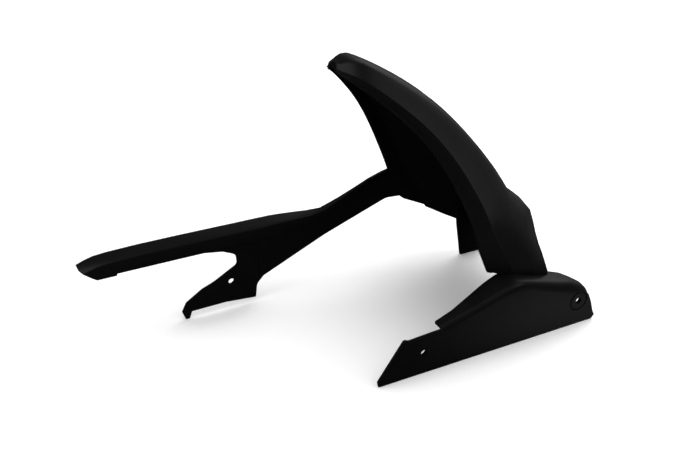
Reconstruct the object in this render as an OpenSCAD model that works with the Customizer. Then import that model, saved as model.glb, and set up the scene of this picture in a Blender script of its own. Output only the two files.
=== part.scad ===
// Rear hugger mudguard with chain guard, one moulding.
// Frame: +X forward on the bike, +Y to the bike's left, +Z up.
// Origin: middle of the front cover bolt hole, on the outer face of the swingarm cover.

/* [Moulding] */
// Wall thickness of every shell
wall = 2.6; // [2.2:0.1:3]

/* [Arch over the tyre] */
// Outer radius of the arch along its crown
arch_r = 376.4; // [372:0.2:380]
// How far the crown's front edge lies ahead of the front bolt
crown_foot_x = 5.1; // [3:0.1:8]
// How far the crown's front edge lies above the front bolt
crown_foot_z = 7.3; // [5:0.1:9]
// Angle above the horizontal, round the arch's centre, at which the crown's front edge lies
arch_lean = 16.4; // [16:0.1:17]
// Length of the crown from its front edge to the tip
arch_len = 331; // [322:1:340]
// How far the arch's middle plane lies inboard of the cover's outer face
arch_in = 115; // [113:1:117]
// Half of the arch's width at its crease
arch_half_w = 81; // [78:1:83]
// Depth from crown to crease at the full section
crease_depth = 50; // [46:1:54]
// Share of the crease depth that is lost at the tip
crease_fade = 0.78; // [0.7:0.01:0.85]
// Height of the skirt band below the crease, at its foot
skirt_h = 23; // [20:1:26]
// Height of the skirt band at the tip
skirt_tip_h = 7; // [5:0.5:9]
// Height of the rolled lip along the skirt's free edge
lip_h = 3.2; // [2.5:0.1:4]
// How far that lip stands out
lip_out = 1.1; // [0.6:0.1:1.6]
// Length of the crown over which the arch keeps its full width
full_len = 116; // [100:1:130]
// Length over which the nose of the tip rolls down
nose_len = 21; // [14:1:26]

/* [Hose pad on the front of the crown] */
// Height of the pad
pad_h = 9.5; // [6:0.5:11]
// Half of the pad's width
pad_half_w = 56; // [50:1:58]
// Distance along the crown from its front edge to the pad's lower end
pad_low = 37; // [28:1:42]
// Distance along the crown from its front edge to the pad's upper end
pad_high = 97; // [92:1:112]

/* [Swingarm cover, right side] */
// Height of the front bolt above the cover's bottom edge
cover_drop = 27.5; // [25:0.5:29]
// Distance from the front bolt back to the rear bolt
bolt_gap = 178; // [170:1:184]
// Height of the rear bolt below the front bolt
rear_bolt_down = 4; // [2:0.5:6]
// Width of the cover's top flange below the arch's leg
flange_w = 27.5; // [26:0.5:30]
// Width of the top flange at the rear
flange_rear_w = 13.5; // [12:0.5:16]
// Rounding between outer face and top flange
cover_round = 6; // [4:0.5:8]
// Rounding between outer face and top flange at the front
cover_front_round = 10; // [8:0.5:12]
// Height of the recessed strip along the bottom edge
strip_h = 4.5; // [3.5:0.5:6]
// Depth of that strip
strip_in = 0.8; // [0.5:0.1:1.2]

/* [Bolts] */
// Diameter of the clearance holes for M6 bolts
bolt_d = 6.6; // [6.2:0.1:7]
// Diameter of the bosses behind the holes
boss_d = 20; // [16:0.5:21]
// Thickness of the wall at a boss
boss_t = 3.5; // [3:0.5:5]
// Depth of the groove round the front bolt's seat
groove_in = 0.8; // [0.5:0.1:1.2]

/* [Chain guard, left side] */
// Distance of the guard's inner wall from the cover's outer face
guard_in = 182; // [180:1:184]
// Width of the guard over the chain
guard_w = 27; // [24:1:30]
// Height of the guard's top above the front bolt
guard_top = 58.5; // [55:0.5:61]
// Depth of the inner wall below the guard's top
guard_inner_h = 14.5; // [13:0.5:16]
// Depth of the outer wall below the guard's top
guard_outer_h = 24; // [20:1:26]
// Distance from the front bolt back to the guard's rear end
guard_back = 439; // [420:1:450]
// Rounding of the guard's upper edges
guard_round = 7; // [5:0.5:9]

/* [Bracket plate and arm] */
// Distance from the front bolt back to the plate's bolt
plate_bolt_back = 292.5; // [288:0.5:296]
// Height of the plate's bolt above the front bolt
plate_bolt_up = 3; // [1:0.5:5]
// Setback of the plate behind the guard's inner wall
plate_set = 2.2; // [1:0.1:2.5]
// Width of the arm's top flange where it meets the arch
arm_flange_w = 9; // [7:0.5:11]

/* [Front tab] */
// Distance of the tab from the arch's middle plane
tab_out = 53; // [48:1:56]
// Length of the tab's foot
tab_len = 36; // [32:1:38]

/* [Hidden] */
arch_steps = concat([for (i = [0:24]) i * 0.037], [0.918, 0.945, 0.965, 0.98, 0.991, 1]);
floor_z = -cover_drop;
skirt_full_len = 76;
centre = [
    crown_foot_x - arch_r * cos(arch_lean),
    arch_in,
    crown_foot_z - arch_r * sin(arch_lean)
];

function clamp(v) = min(1, max(0, v));
function ease(v) = let (c = clamp(v)) c * c * (3 - 2 * c);
function mix(a, b, t) = a + (b - a) * t;
// Value at x on a line of points, with its corners rounded over a width of about r
function soft(x, line, r) =
    let (n = 4)
    let (vals = [for (i = [-n:n]) lookup(x + i * r / n, line) * (n + 1 - abs(i))])
    sum(vals) / ((n + 1) * (n + 1));
function sum(v, i = 0) = i >= len(v) ? 0 : v[i] + sum(v, i + 1);

// Polygon whose corners [x, z, r] are rounded to their radius r
function rounded(pts) = [
    for (i = [0:len(pts) - 1])
        let (
            n = len(pts),
            p = [pts[i][0], pts[i][1]],
            a = [pts[(i + n - 1) % n][0], pts[(i + n - 1) % n][1]] - p,
            b = [pts[(i + 1) % n][0], pts[(i + 1) % n][1]] - p,
            ua = a / norm(a),
            ub = b / norm(b),
            half = acos(max(-1, min(1, ua * ub))) / 2,
            reach = min(pts[i][2] / tan(half), norm(a) * 0.48, norm(b) * 0.48),
            steps = pts[i][2] < 0.5 ? 1 : max(3, ceil((180 - 2 * half) / 15))
        )
        for (k = [0:steps])
            if (steps > 1)
                let (t = k / steps)
                p + ua * reach * (1 - t) * (1 - t) + ub * reach * t * t
            else if (k == 0) p
];

// Thin shell between two stacks of rows: outer[i][j] and inner[i][j] face each other
module skin(outer, inner) {
    rows = len(outer);
    n = len(outer[0]);
    pts = [for (i = [0:rows - 1]) each concat(outer[i], inner[i])];
    function at(i, j) = i * 2 * n + j;
    sides = [
        for (i = [0:rows - 2])
            for (j = [0:n - 2])
                each [
                    [at(i, j), at(i + 1, j), at(i + 1, j + 1)],
                    [at(i, j), at(i + 1, j + 1), at(i, j + 1)],
                    [at(i, n + j), at(i + 1, n + j + 1), at(i + 1, n + j)],
                    [at(i, n + j), at(i, n + j + 1), at(i + 1, n + j + 1)]
                ]
    ];
    edges = [
        for (i = [0:rows - 2])
            each [
                [at(i, 0), at(i, n), at(i + 1, n)],
                [at(i, 0), at(i + 1, n), at(i + 1, 0)],
                [at(i, n - 1), at(i + 1, n - 1), at(i + 1, 2 * n - 1)],
                [at(i, n - 1), at(i + 1, 2 * n - 1), at(i, 2 * n - 1)]
            ]
    ];
    ends = [
        for (j = [0:n - 2])
            each [
                [at(0, j), at(0, j + 1), at(0, n + j + 1)],
                [at(0, j), at(0, n + j + 1), at(0, n + j)],
                [at(rows - 1, j), at(rows - 1, n + j + 1), at(rows - 1, j + 1)],
                [at(rows - 1, j), at(rows - 1, n + j), at(rows - 1, n + j + 1)]
            ]
    ];
    polyhedron(points = pts, faces = concat(sides, edges, ends), convexity = 8);
}

// Offset of an open row of 2-D points by t to its left
function offset_row(row, t) = [
    for (j = [0:len(row) - 1])
        let (
            last = len(row) - 1,
            d0 = j == 0 ? row[1] - row[0] : row[j] - row[j - 1],
            d1 = j == last ? row[last] - row[last - 1] : row[j + 1] - row[j],
            u0 = d0 / norm(d0),
            u1 = d1 / norm(d1),
            m = u0 + u1,
            s = t / max(0.6, norm(m) / 2),
            u = m / norm(m)
        )
        row[j] + s * [-u[1], u[0]]
];

// Half of the arch's section as shares: [share of half width, share of crease depth]
arch_half_shares = [
    [0.985, 1],
    [0.86, 0.73],
    [0.74, 0.46],
    [0.65, 0.25],
    [0.56, 0.125],
    [0.40, 0.05],
    [0.20, 0.012]
];

// Share of the skirt band at which its lip starts
lip_from = 1 - lip_h / skirt_h;

// Full section at an angle, as [share across, share of depth, share of the skirt band, lip]
section_shares = concat(
    [[-1, 1, 1, 1], [-1, 1, lip_from, 1], [-0.995, 1, lip_from - 0.05, 0], [-1, 1, 0.04, 0]],
    [for (s = arch_half_shares) [-s[0], s[1], 0, 0]],
    [[0, 0, 0, 0]],
    [for (i = [len(arch_half_shares) - 1:-1:0]) [arch_half_shares[i][0], arch_half_shares[i][1], 0, 0]],
    [[1, 1, 0.04, 0], [0.995, 1, lip_from - 0.05, 0], [1, 1, lip_from, 1], [1, 1, 1, 1]]
);

// Arch's lower border from the right leg to the left skirt: [share across, length up the crown]
low_border = [
    [-1, 57],
    [-0.86, 41],
    [-0.74, 28],
    [-0.65, 22],
    [-0.5, 12],
    [-0.35, 5],
    [0, 0],
    [0.5, 4],
    [0.65, 9],
    [0.74, 15],
    [0.86, 29],
    [1, 49]
];
right_rim_start = 79.5;
left_rim_start = 85;
// Where the right side lands on the cover: [share across, distance from the cover's outer face]
foot_y = [
    [-1, 19],
    [-0.86, 18.5],
    [-0.74, 20],
    [-0.65, 29.5],
    [-0.56, 50.5],
    [-0.4, 76.5],
    [-0.2, 98],
    [0, arch_in]
];
// Change of the arch's radius there: [share across, change]
foot_r = [
    [-1, -8],
    [-0.86, -1],
    [-0.74, 0],
    [-0.65, -4],
    [-0.56, 1],
    [-0.4, 0]
];
// Shift of the right skirt's free edge where it lands
skirt_foot_y = 9;
skirt_foot_r = 3;
// Length up the crown over which the leg swings out, for its faces and for its crease
leg_len = 98;
leg_crease_len = 66;
// The crown is a little flatter than a circle towards the tip
crown_lift = 4;
crown_lift_from = 160;
crown_lift_len = 105;
pad_low_len = 46;
pad_high_len = 23;
pad_side = 9;

function rise(l) = clamp((l - full_len) / (arch_len - full_len));
function half_w(l) = arch_half_w * sqrt(max(0.0081, 1 - pow(rise(l), 2)));
function depth(l) = crease_depth * (1 - crease_fade * rise(l));
function band(l) = mix(skirt_h, skirt_tip_h, clamp((l - skirt_full_len) / (arch_len - skirt_full_len)));
function nose(l) = sqrt(max(0.16, 1 - pow(clamp((l - arch_len + nose_len) / nose_len), 2)));
function pad(l, y) =
    pad_h * ease((pad_high - l) / pad_high_len) * ease((l - pad_low) / pad_low_len)
    * ease((pad_half_w - abs(y)) / pad_side);

// Length up the crown at which one section share starts
function border(s) = mix(lookup(s[0], low_border), s[0] > 0 ? left_rim_start : right_rim_start, s[2]);
// Point [y, r, length up the crown] of the outer surface at a section share and a way t from foot to tip
function arch_point(s, t) =
    let (
        l = mix(border(s), arch_len, t),
        leg = 1 - ease((l - border(s)) / (abs(s[1]) == 1 ? leg_crease_len : leg_len)),
        out = s[0] < 0 ? lookup(s[0], foot_y) - arch_in - s[0] * arch_half_w + skirt_foot_y * s[2] : 0,
        up = s[0] < 0 ? lookup(s[0], foot_r) + skirt_foot_r * s[2] : 0,
        span = depth(l) + band(l),
        down = s[1] * depth(l) + s[2] * band(l),
        crown = arch_r + crown_lift * ease((l - crown_lift_from) / crown_lift_len),
        y = s[0] * half_w(l),
        r = crown - span + (span - down) * nose(l) + leg * up
    )
    [y + sign(y) * lip_out * s[3] + leg * out, r + (s[1] < 0.4 ? pad(l, y) : 0), l];
function arch_place(p) =
    let (a = arch_lean + p[2] / arch_r * 180 / PI)
    centre + [p[1] * cos(a), p[0], p[1] * sin(a)];

module arch() {
    rows = [for (t = arch_steps) [for (s = section_shares) arch_point(s, t)]];
    outer = [for (row = rows) [for (p = row) arch_place(p)]];
    inner = [
        for (row = rows)
            let (
                last = len(row) - 1,
                rim = row[0][1],
                thick = min(wall, (row[floor(last / 2)][1] - rim) * 0.5, row[last][0] * 0.4),
                flat = offset_row([for (p = row) [p[0], p[1]]], -thick)
            )
            [
                for (j = [0:last])
                    arch_place([flat[j][0], j == 0 || j == last ? row[j][1] : flat[j][1], row[j][2]])
            ]
    ];
    skin(outer, inner);
}

// Top line of the cover's outer face, seen from the side
cover_top = [
    [-227, -21],
    [-199, 15.3],
    [-194, 13.8],
    [-160, 15.8],
    [-74, 41.6],
    [-30, 27.6],
    [-5, 20.8],
    [12.5, 11],
    [18, -4],
    [19, -12]
];
cover_front = 18;
flange_rear = -159;
flange_taper = 36;

// Arc from angle a to b round a centre, in equal steps
function arc(c, r, a, b, n) = [for (i = [0:n]) let (t = mix(a, b, i / n)) c + r * [cos(t), sin(t)]];

// Outer face and top flange of the cover, from its front to the notch behind the flange
module cover() {
    xs = [
        cover_front, 16.5, 14.5, 12, 9, 5, 0, -8, -20, -40, -58, -66, -72, -78, -86, -100,
        -120, -140, flange_rear
    ];
    function z_top(x) = soft(x, cover_top, mix(13, 5, clamp((x + 40) / 40)));
    function bend(x) = mix(cover_round, cover_front_round, ease((x + 90) / 70));
    function reach(x) = let (full = mix(flange_rear_w, flange_w, ease((x - flange_rear) / 80)))
        mix(cover_front_round + 2, full, ease((cover_front - x) / flange_taper));
    rows = [
        for (x = xs)
            let (zt = z_top(x), b = bend(x), c = [b, zt - b])
            [
                concat([[0, floor_z]], arc(c, b, 180, 90, 4), [[reach(x), zt]]),
                concat(
                    [[wall, floor_z]],
                    arc(c, b - wall, 180, 90, 4),
                    [[reach(x), zt - wall]]
                )
            ]
    ];
    function stack(k) = [for (i = [0:len(xs) - 1]) [for (p = rows[i][k]) [xs[i], p[0], p[1]]]];
    skin(stack(0), stack(1));
    along_y(0, wall)
        polygon(rounded([
            [-225.2, -22, 2],
            [-224, floor_z, 1],
            [flange_rear + 4, floor_z, 0],
            [flange_rear + 4, 6, 0],
            [flange_rear + 0.6, 9, 0],
            [flange_rear + 0.5, 15.5, 1],
            [-194, 13.5, 5],
            [-199, 15.8, 3]
        ]));
}

// Wall that closes the cover's front end
module cover_ends() {
    along_y(0, cover_front_round + 2)
        polygon(rounded([
            [7, 8, 0],
            [12, 5, 4],
            [17, -6, 4],
            [20.5, -17, 3],
            [24, floor_z + 3.5, 1],
            [20.5, floor_z, 1],
            [15, floor_z, 0],
            [16, -16, 3],
            [13.5, -6, 4],
            [9, 3, 0]
        ]));
}

// Extrudes a side-view outline (x, z) along +Y from y0 over a thickness t
module along_y(y0, t) {
    translate([0, y0 + t, 0]) rotate([90, 0, 0]) linear_extrude(t) children();
}

// Boss behind a bolt hole of the cover or plate
module boss(x, z, y0) {
    along_y(y0, boss_t) translate([x, z]) circle(d = boss_d, $fn = 48);
}

// Bolt hole with an optional ring groove round the seat of the bolt's head
module bolt_hole(x, z, y0, groove = 0) {
    along_y(y0 - 10, boss_t + 20) translate([x, z]) circle(d = bolt_d, $fn = 48);
    if (groove > 0)
        along_y(y0 - 5, 5 + groove) translate([x, z]) difference() {
            circle(d = boss_d + 1, $fn = 48);
            circle(d = boss_d - 2, $fn = 48);
        }
}

// Side-view lines of the chain guard and the arm that carries it
guard_line = [
    [-guard_back, guard_top - 6.5],
    [11 - guard_back, guard_top - 2],
    [30 - guard_back, guard_top - 0.5],
    [69 - guard_back, guard_top + 0.5],
    [-238, guard_top - 0.7],
    [-210, guard_top - 2],
    [-187, 55.3],
    [-154, 68.4],
    [-129, 78],
    [-104, 84.5]
];
arm_front = -100;
arm_bend = -258;
// The arm's front end sinks this far into the arch's side
arm_sink = 2;
arm_shift = arch_in + arch_half_w - arm_sink - guard_in;
guard_slant = 1.4;
// Where the guard's inner wall gets deeper near its rear end, and by how much
guard_step = 33.5;
guard_step_h = 2;

module guard() {
    xs = concat(
        [arm_front, -112, -128, -145, -165, -185, -200, -212, -225, -240, -255, -275],
        [for (x = [138, 99, 59, guard_step + 0.5, guard_step - 0.5, 29, 16, 6, 0]) x - guard_back]
    );
    function z_top(x) = soft(x, guard_line, 5);
    function y_in(x) = guard_in + arm_shift * clamp((x - arm_bend) / (arm_front - arm_bend));
    function width(x) = mix(guard_w, arm_flange_w, ease((x + 262) / 120));
    function corner(x) = mix(guard_round, wall + 0.8, ease((x + 262) / 120));
    function inner_h(x) =
        let (deeper = x < guard_step - guard_back ? guard_step_h : 0)
        mix(z_top(x) - guard_top + guard_inner_h + deeper, corner(x) + 0.6, ease((x + 245) / 60));
    function outer_h(x) = mix(guard_outer_h, corner(x) + 0.6, ease((x + 270) / 100));
    function cut(x) = clamp(1 - (x + guard_back) / 30);
    function row(x, t) =
        let (zt = z_top(x), y0 = y_in(x), w = width(x), c = corner(x))
        concat(
            [[y0 + t, zt - inner_h(x)]],
            arc([y0 + c, zt - c], c - t, 180, 90, 2),
            arc([y0 + w - c, zt - c], c - t, 90, 0, 2),
            [[y0 + w - t, zt - outer_h(x)]]
        );
    function stack(t) = [
        for (x = xs)
            [for (p = row(x, t)) [x + cut(x) * (z_top(x) - p[1]) * guard_slant, p[0], p[1]]]
    ];
    skin(stack(0), stack(wall));
}

// Flat bracket plate below the guard, with its hook
plate_x = -plate_bolt_back;
plate_z = plate_bolt_up;
plate_top = guard_top - 4.5;
plate_outline = [
    [plate_x - 45, plate_top, 1],
    [plate_x - 28.5, plate_top - 11, 4],
    [plate_x - 7.5, plate_top - 14.5, 12],
    [plate_x + 6.5, plate_top - 21, 8],
    [plate_x + 7.5, plate_z + 18, 5],
    [plate_x - 17.5, plate_z + 4, 20],
    [plate_x - 31.5, plate_z - 1.5, 8],
    [plate_x - 48.5, plate_z - 12.5, 3],
    [plate_x - 53.5, plate_z - 22, 3],
    [plate_x - 50.5, floor_z, 1],
    [plate_x - 46.5, floor_z, 1],
    [plate_x - 43.5, plate_z - 23, 1],
    [plate_x - 7.5, plate_z - 22.5, 20],
    [plate_x + 25.5, plate_z - 25.5, 1],
    [plate_x + 27.5, plate_z - 10, 10],
    [arm_bend + 3, 3, 4],
    [arm_bend + 8, plate_top, 1]
];
// Web of the arm, hinged to the plate at arm_bend
arm_outline = [
    [-262, 52, 1],
    [-262, 0, 1],
    [-256, 1.2, 2],
    [-185, 28.2, 30],
    [-108, 51.7, 18],
    [-84, 49, 8],
    [-84, 85, 1],
    [-104, 85, 4],
    [-129, 79, 20],
    [-154, 69.4, 20],
    [-187, 55.8, 20],
    [-214, 53.3, 10]
];

module bracket() {
    along_y(guard_in + plate_set, wall) polygon(rounded(plate_outline));
    translate([arm_bend, guard_in + plate_set, 0])
        rotate([0, 0, atan((arm_shift - 1) / (arm_front - arm_bend))])
            translate([-arm_bend, 0, 0]) along_y(0, wall) polygon(rounded(arm_outline));
}

// Tab that hangs from the inside of the crown, with a short front return
tab_back = 31;
tab_lean = 7;
tab_top = 40;
module front_tab() {
    along_y(arch_in + tab_out, wall)
        polygon(rounded([
            [tab_lean - tab_back, floor_z, 1],
            [tab_lean - tab_back + tab_len, floor_z, 2],
            [tab_len - tab_back - 4, tab_top * 0.4, 10],
            [19 - tab_back, tab_top, 4],
            [-3 - tab_back, tab_top, 10],
            [-tab_back, tab_top * 0.3, 10]
        ]));
}

module mudguard() {
    color([0.05, 0.05, 0.055])
    difference() {
        union() {
            arch();
            cover();
            cover_ends();
            guard();
            bracket();
            front_tab();
            boss(0, 0, 0.5);
            boss(-bolt_gap, -rear_bolt_down, 0.5);
            boss(-plate_bolt_back, plate_bolt_up, guard_in + plate_set);
        }
        bolt_hole(0, 0, 0, groove_in);
        bolt_hole(-bolt_gap, -rear_bolt_down, 0);
        translate([-2 * bolt_gap, -1, floor_z - 1]) cube([3 * bolt_gap, 1 + strip_in, 1 + strip_h]);
        bolt_hole(-plate_bolt_back, plate_bolt_up, guard_in + plate_set);
    }
}

mudguard();
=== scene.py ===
from math import cos, radians, sin

import bmesh
import bpy
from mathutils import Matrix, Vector


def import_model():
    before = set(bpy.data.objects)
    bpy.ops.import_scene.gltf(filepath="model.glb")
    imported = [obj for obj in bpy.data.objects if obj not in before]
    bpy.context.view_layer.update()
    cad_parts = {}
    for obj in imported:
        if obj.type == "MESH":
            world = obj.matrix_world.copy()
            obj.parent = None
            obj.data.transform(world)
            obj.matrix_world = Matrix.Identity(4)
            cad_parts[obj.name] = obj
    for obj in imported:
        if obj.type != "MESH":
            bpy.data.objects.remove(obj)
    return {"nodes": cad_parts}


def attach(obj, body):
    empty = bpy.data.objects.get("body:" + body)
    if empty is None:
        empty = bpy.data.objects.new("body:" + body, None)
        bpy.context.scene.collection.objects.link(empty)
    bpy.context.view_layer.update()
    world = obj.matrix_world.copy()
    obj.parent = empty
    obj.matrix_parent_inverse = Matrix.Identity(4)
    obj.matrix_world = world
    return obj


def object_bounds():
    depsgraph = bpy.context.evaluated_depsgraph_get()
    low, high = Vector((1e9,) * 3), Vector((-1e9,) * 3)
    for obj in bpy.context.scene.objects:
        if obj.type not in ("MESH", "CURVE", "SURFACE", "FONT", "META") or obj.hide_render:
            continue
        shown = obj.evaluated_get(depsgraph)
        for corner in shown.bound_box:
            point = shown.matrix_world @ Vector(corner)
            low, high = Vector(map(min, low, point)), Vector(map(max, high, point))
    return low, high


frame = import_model()
CAD_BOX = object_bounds()

# The photo's camera in the row frame: place in metres, direction from the view back to the camera
PHOTO_W = 675
CAMERA_AT = Vector((-0.5501, -0.5576, 0.4814))
CAMERA_BACK = Vector((-0.4008, -0.7867, 0.4695))
FOCAL_PX = 900.0
SENSOR_MM = 36.0
CLIP_NEAR, CLIP_FAR = 0.05, 50.0

# Satin black moulded plastic: its roughness varies in soft clouds, over a fine grain
BLACK = (0.0012, 0.0012, 0.0013, 1.0)
PLASTIC_IOR = 1.46
SHEEN_ROUGHNESS = (0.34, 0.44)
CLOUD_SCALE, CLOUD_DETAIL = 28.0, 3.0
CLOUD_RANGE = (0.3, 0.7)
GRAIN_SCALE, GRAIN_DETAIL = 1500.0, 2.0
GRAIN_STRENGTH = 0.06
GRAIN_HEIGHT = 0.0001
# Painted shade: ambient occlusion dims the sheen in hollows and on inner faces; how much sheen at how open a
# place, seen within this distance
SHEEN_IN_PAINTED_SHADE = (0.1, 0.5)
PAINTED_SHADE_OPENNESS = (0.4, 0.9)
PAINTED_SHADE_WITHIN, PAINTED_SHADE_SAMPLES = 0.2, 8
EDGE_RADIUS, EDGE_SAMPLES = 0.0006, 6
# Shading of the meshes: points closer than the gap are one, and edges under the angle are smooth
WELD_GAP = 0.00002
SMOOTH_BELOW = radians(29)

# The wall that closes the arch's tip, in metres: the arch's centre, and the angle and radius of the tip's rim
ARCH_CENTRE = Vector((-0.3560, 0.115, -0.0990))
TIP_ANGLE = radians(66.785)
TIP_RIM_R = 0.3624
# Half width and height of the tip's end, and how far inside its outline the wall stays
TIP_HALF_W, TIP_H = 0.0073, 0.0072
TIP_INSET = 0.0011
# Right half of the wall's outline, from rim to crown, as shares of half width and height
TIP_HALF = ((1.0, 0.0), (1.0, 0.36), (0.86, 0.55), (0.74, 0.72), (0.62, 0.87), (0.4, 0.97), (0.2, 0.99))
# How deep the wall's rim, raised middle and back lie in the shell
TIP_EDGE_IN, TIP_MIDDLE_IN, TIP_BACK_IN = 0.0004, 0.00024, 0.0018
# Size of the raised middle as a share of the outline, and the height it is centred on
TIP_MIDDLE = 0.6
TIP_MIDDLE_H = 0.45

# Studio
WHITE = (1.0, 1.0, 1.0, 1.0)
FLOOR_SIZE = 14.0
FLOOR_COLOUR = (0.9, 0.9, 0.9, 1.0)
WORLD_DIFFUSE = 1.15
# How bright the floor looks in reflections: behind, far ahead, and in the lit pool beside the cover
FLOOR_DIM, FLOOR_AHEAD, FLOOR_LIT = 0.01, 0.12, 0.22
AHEAD_FROM_TO = (0.15, 0.5)
# The pool's centre, its reach along x, and how much narrower it is along y
POOL_AT = (0.02, -0.04)
POOL_REACH = 0.21
POOL_SQUEEZE = 2.2
# How bright the studio looks in reflections all round, and what its glows add:
# direction, cosines at which the glow starts and is full, strength
STUDIO_DIM = 0.012
STUDIO_GLOWS = {
    "ahead": ((0.85, 0.5, -0.25), (0.45, 0.85), 0.12),
    "high_ahead": ((0.72, 0.5, 0.46), (0.88, 0.98), 0.45),
    "overhead": ((-0.5, 0.2, 0.84), (0.82, 0.97), 0.75),
}
# What the lamps and the floor are centred on
CENTRE = Vector((-0.18, 0.1, 0.08))

# Lamps: direction from the centre, distance and size in metres, power in watts, whether reflections show them
LIGHTS = {
    "key_front_left": ((0.82, 0.45, 0.50), 1.9, 1.6, 18.0, False),
    "top": ((-0.1, 0.05, 1.0), 2.2, 1.6, 10.0, False),
    "edge_light": ((0.55, -0.40, 0.72), 2.2, 1.1, 2.4, True),
}


def new_material(name):
    mat = bpy.data.materials.new(name)
    mat.use_nodes = True
    mat.node_tree.nodes.clear()
    return mat, mat.node_tree.nodes, mat.node_tree.links


def satin_black():
    """The part's one material."""
    mat, nodes, links = new_material("satin black plastic")
    out = nodes.new("ShaderNodeOutputMaterial")
    shader = nodes.new("ShaderNodeBsdfPrincipled")
    shader.inputs["Base Color"].default_value = BLACK
    shader.inputs["IOR"].default_value = PLASTIC_IOR
    links.new(shader.outputs["BSDF"], out.inputs["Surface"])

    place = nodes.new("ShaderNodeTexCoord")
    cloud = nodes.new("ShaderNodeTexNoise")
    cloud.inputs["Scale"].default_value = CLOUD_SCALE
    cloud.inputs["Detail"].default_value = CLOUD_DETAIL
    links.new(place.outputs["Object"], cloud.inputs["Vector"])
    rough = fade(nodes, links, cloud.outputs["Fac"], CLOUD_RANGE, SHEEN_ROUGHNESS, "LINEAR")
    links.new(rough, shader.inputs["Roughness"])

    # Painted shade: the sheen is dimmed where ambient occlusion finds a hollow, so inner faces and recesses
    # render darker
    painted_shade_ao = nodes.new("ShaderNodeAmbientOcclusion")
    painted_shade_ao.only_local = True
    painted_shade_ao.samples = PAINTED_SHADE_SAMPLES
    painted_shade_ao.inputs["Distance"].default_value = PAINTED_SHADE_WITHIN
    shaded_sheen = fade(nodes, links, painted_shade_ao.outputs["AO"], PAINTED_SHADE_OPENNESS, SHEEN_IN_PAINTED_SHADE, "LINEAR")
    links.new(shaded_sheen, shader.inputs["Specular IOR Level"])

    grain = nodes.new("ShaderNodeTexNoise")
    grain.inputs["Scale"].default_value = GRAIN_SCALE
    grain.inputs["Detail"].default_value = GRAIN_DETAIL
    links.new(place.outputs["Object"], grain.inputs["Vector"])
    edge = nodes.new("ShaderNodeBevel")
    edge.samples = EDGE_SAMPLES
    edge.inputs["Radius"].default_value = EDGE_RADIUS
    bump = nodes.new("ShaderNodeBump")
    bump.inputs["Strength"].default_value = GRAIN_STRENGTH
    bump.inputs["Distance"].default_value = GRAIN_HEIGHT
    links.new(grain.outputs["Fac"], bump.inputs["Height"])
    links.new(edge.outputs["Normal"], bump.inputs["Normal"])
    links.new(bump.outputs["Normal"], shader.inputs["Normal"])
    return mat


def seen_and_reflected(nodes, links, seen, reflected):
    """Shader that glossy rays see as one thing, and the camera and the rest of the light as another."""
    path = nodes.new("ShaderNodeLightPath")
    mix = nodes.new("ShaderNodeMixShader")
    links.new(path.outputs["Is Glossy Ray"], mix.inputs["Fac"])
    links.new(seen, mix.inputs[1])
    links.new(reflected, mix.inputs[2])
    return mix.outputs["Shader"]


def fade(nodes, links, value, span, ends, kind="SMOOTHSTEP"):
    """Output that goes from one end to the other as value crosses the span."""
    ramp = nodes.new("ShaderNodeMapRange")
    ramp.interpolation_type = kind
    ramp.inputs["From Min"].default_value, ramp.inputs["From Max"].default_value = span
    ramp.inputs["To Min"].default_value, ramp.inputs["To Max"].default_value = ends
    links.new(value, ramp.inputs["Value"])
    return ramp.outputs["Result"]


def added(nodes, links, value, other):
    """Sum of an output and another output or a number."""
    total = nodes.new("ShaderNodeMath")
    total.operation = "ADD"
    links.new(value, total.inputs[0])
    if isinstance(other, float):
        total.inputs[1].default_value = other
    else:
        links.new(other, total.inputs[1])
    return total.outputs["Value"]


def floor(z):
    """Pale floor at height z, which is dim in reflections apart from a lit pool and the far front."""
    bpy.ops.mesh.primitive_plane_add(size=FLOOR_SIZE, location=(CENTRE.x, CENTRE.y, z))
    plane = bpy.context.object
    plane.name = "floor"
    mat, nodes, links = new_material("pale floor")
    out = nodes.new("ShaderNodeOutputMaterial")
    plain = nodes.new("ShaderNodeBsdfDiffuse")
    plain.inputs["Color"].default_value = FLOOR_COLOUR
    grey = nodes.new("ShaderNodeEmission")
    grey.inputs["Color"].default_value = WHITE
    place = nodes.new("ShaderNodeNewGeometry")
    squeeze = nodes.new("ShaderNodeVectorMath")
    squeeze.operation = "MULTIPLY"
    squeeze.inputs[1].default_value = (1.0, POOL_SQUEEZE, 1.0)
    links.new(place.outputs["Position"], squeeze.inputs[0])
    away = nodes.new("ShaderNodeVectorMath")
    away.operation = "DISTANCE"
    away.inputs[1].default_value = (POOL_AT[0], POOL_AT[1] * POOL_SQUEEZE, z)
    links.new(squeeze.outputs["Vector"], away.inputs[0])
    pool = fade(nodes, links, away.outputs["Value"], (0.0, POOL_REACH), (FLOOR_LIT, FLOOR_DIM))
    split = nodes.new("ShaderNodeSeparateXYZ")
    links.new(place.outputs["Position"], split.inputs["Vector"])
    front = fade(nodes, links, split.outputs["X"], AHEAD_FROM_TO, (0.0, FLOOR_AHEAD))
    links.new(added(nodes, links, pool, front), grey.inputs["Strength"])
    links.new(
        seen_and_reflected(nodes, links, plain.outputs["BSDF"], grey.outputs["Emission"]),
        out.inputs["Surface"],
    )
    plane.data.materials.append(mat)


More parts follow.
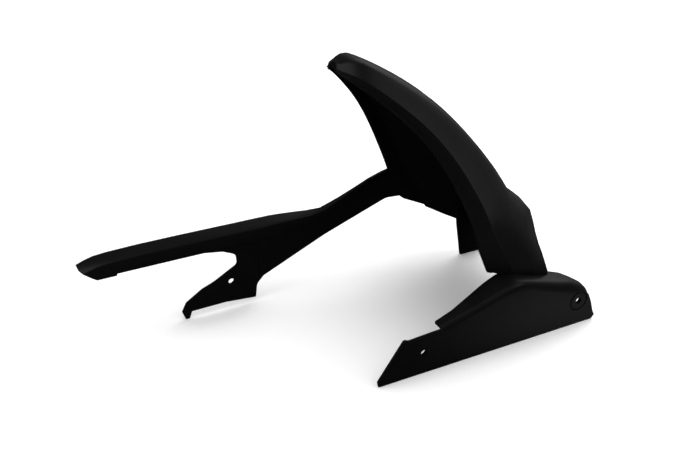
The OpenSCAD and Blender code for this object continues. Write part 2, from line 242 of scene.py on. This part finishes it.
def world():
    """White surroundings, which are dim in reflections apart from the glows."""
    scene_world = bpy.data.worlds.new("studio")
    scene_world.use_nodes = True
    nodes, links = scene_world.node_tree.nodes, scene_world.node_tree.links
    nodes.clear()
    out = nodes.new("ShaderNodeOutputWorld")
    white = nodes.new("ShaderNodeBackground")
    white.inputs["Strength"].default_value = WORLD_DIFFUSE
    white.inputs["Color"].default_value = WHITE
    dim = nodes.new("ShaderNodeBackground")
    dim.inputs["Color"].default_value = WHITE
    place = nodes.new("ShaderNodeTexCoord")
    level = STUDIO_DIM
    for direction, span, strength in STUDIO_GLOWS.values():
        toward = nodes.new("ShaderNodeVectorMath")
        toward.operation = "DOT_PRODUCT"
        toward.inputs[1].default_value = Vector(direction).normalized()
        links.new(place.outputs["Generated"], toward.inputs[0])
        glow = fade(nodes, links, toward.outputs["Value"], span, (0.0, strength))
        level = added(nodes, links, glow, level)
    links.new(level, dim.inputs["Strength"])
    links.new(
        seen_and_reflected(nodes, links, white.outputs["Background"], dim.outputs["Background"]),
        out.inputs["Surface"],
    )
    bpy.context.scene.world = scene_world


def light(name, direction, distance, size, power, reflected):
    """Round soft lamp that points at the part."""
    data = bpy.data.lights.new(name, "AREA")
    data.shape = "DISK"
    data.size = size
    data.energy = power
    lamp = bpy.data.objects.new(name, data)
    lamp.visible_glossy = reflected
    away = Vector(direction).normalized()
    lamp.location = CENTRE + away * distance
    lamp.rotation_mode = "QUATERNION"
    lamp.rotation_quaternion = away.to_track_quat("Z", "Y")
    bpy.context.scene.collection.objects.link(lamp)


def camera():
    """The photo's camera."""
    data = bpy.data.cameras.new("photo camera")
    data.sensor_width = SENSOR_MM
    data.lens = FOCAL_PX * SENSOR_MM / PHOTO_W
    data.clip_start, data.clip_end = CLIP_NEAR, CLIP_FAR
    cam = bpy.data.objects.new("photo camera", data)
    cam.location = CAMERA_AT
    cam.rotation_mode = "QUATERNION"
    cam.rotation_quaternion = CAMERA_BACK.to_track_quat("Z", "Y")
    bpy.context.scene.collection.objects.link(cam)
    bpy.context.scene.camera = cam


def dress(node, material):
    """Gives a CAD node smooth shading with crisp edges, and the material."""
    normals = node.data.attributes.get("custom_normal")
    if normals:
        node.data.attributes.remove(normals)
    node.data.shade_smooth()
    weld = node.modifiers.new("weld", "WELD")
    weld.merge_threshold = WELD_GAP
    crisp = node.modifiers.new("crisp edges", "EDGE_SPLIT")
    crisp.split_angle = SMOOTH_BELOW
    flats = node.modifiers.new("even flats", "WEIGHTED_NORMAL")
    flats.keep_sharp = True
    node.data.materials.clear()
    node.data.materials.append(material)


def tip_wall():
    """The small end wall of the arch's tip, let into the shell just inside its rim."""
    shape = [*TIP_HALF, (0.0, 1.0)] + [(-s, h) for s, h in reversed(TIP_HALF)]
    radial = Vector((cos(TIP_ANGLE), 0.0, sin(TIP_ANGLE)))
    along = Vector((-sin(TIP_ANGLE), 0.0, cos(TIP_ANGLE)))
    rim = ARCH_CENTRE + radial * (TIP_RIM_R + TIP_INSET)
    wide, high = TIP_HALF_W - TIP_INSET, TIP_H - 2 * TIP_INSET

    def at(s, h, depth):
        return rim + Vector((0.0, s * wide, 0.0)) + radial * (h * high) - along * depth

    bm = bmesh.new()
    front = [bm.verts.new(at(s, h, TIP_EDGE_IN)) for s, h in shape]
    middle = [
        bm.verts.new(at(s * TIP_MIDDLE, TIP_MIDDLE_H + (h - TIP_MIDDLE_H) * TIP_MIDDLE, TIP_MIDDLE_IN))
        for s, h in shape
    ]
    back = [bm.verts.new(at(s, h, TIP_BACK_IN)) for s, h in shape]
    for i in range(len(shape)):
        j = (i + 1) % len(shape)
        bm.faces.new((front[i], front[j], middle[j], middle[i]))
        bm.faces.new((front[j], front[i], back[i], back[j]))
    bm.faces.new(middle)
    bm.faces.new(list(reversed(back)))
    bmesh.ops.recalc_face_normals(bm, faces=bm.faces)
    mesh = bpy.data.meshes.new("tip_wall")
    bm.to_mesh(mesh)
    bm.free()
    wall = bpy.data.objects.new("tip_wall", mesh)
    bpy.context.scene.collection.objects.link(wall)
    mesh.shade_smooth()
    mesh.set_sharp_from_angle(angle=SMOOTH_BELOW)
    return wall


black = satin_black()
dress(frame["nodes"]["mudguard"], black)
tip = tip_wall()
tip.data.materials.append(black)
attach(tip, "root")
floor(CAD_BOX[0][2])
world()
for name, setting in LIGHTS.items():
    light(name, *setting)
camera()
bpy.context.scene.view_settings.view_transform = "Standard"
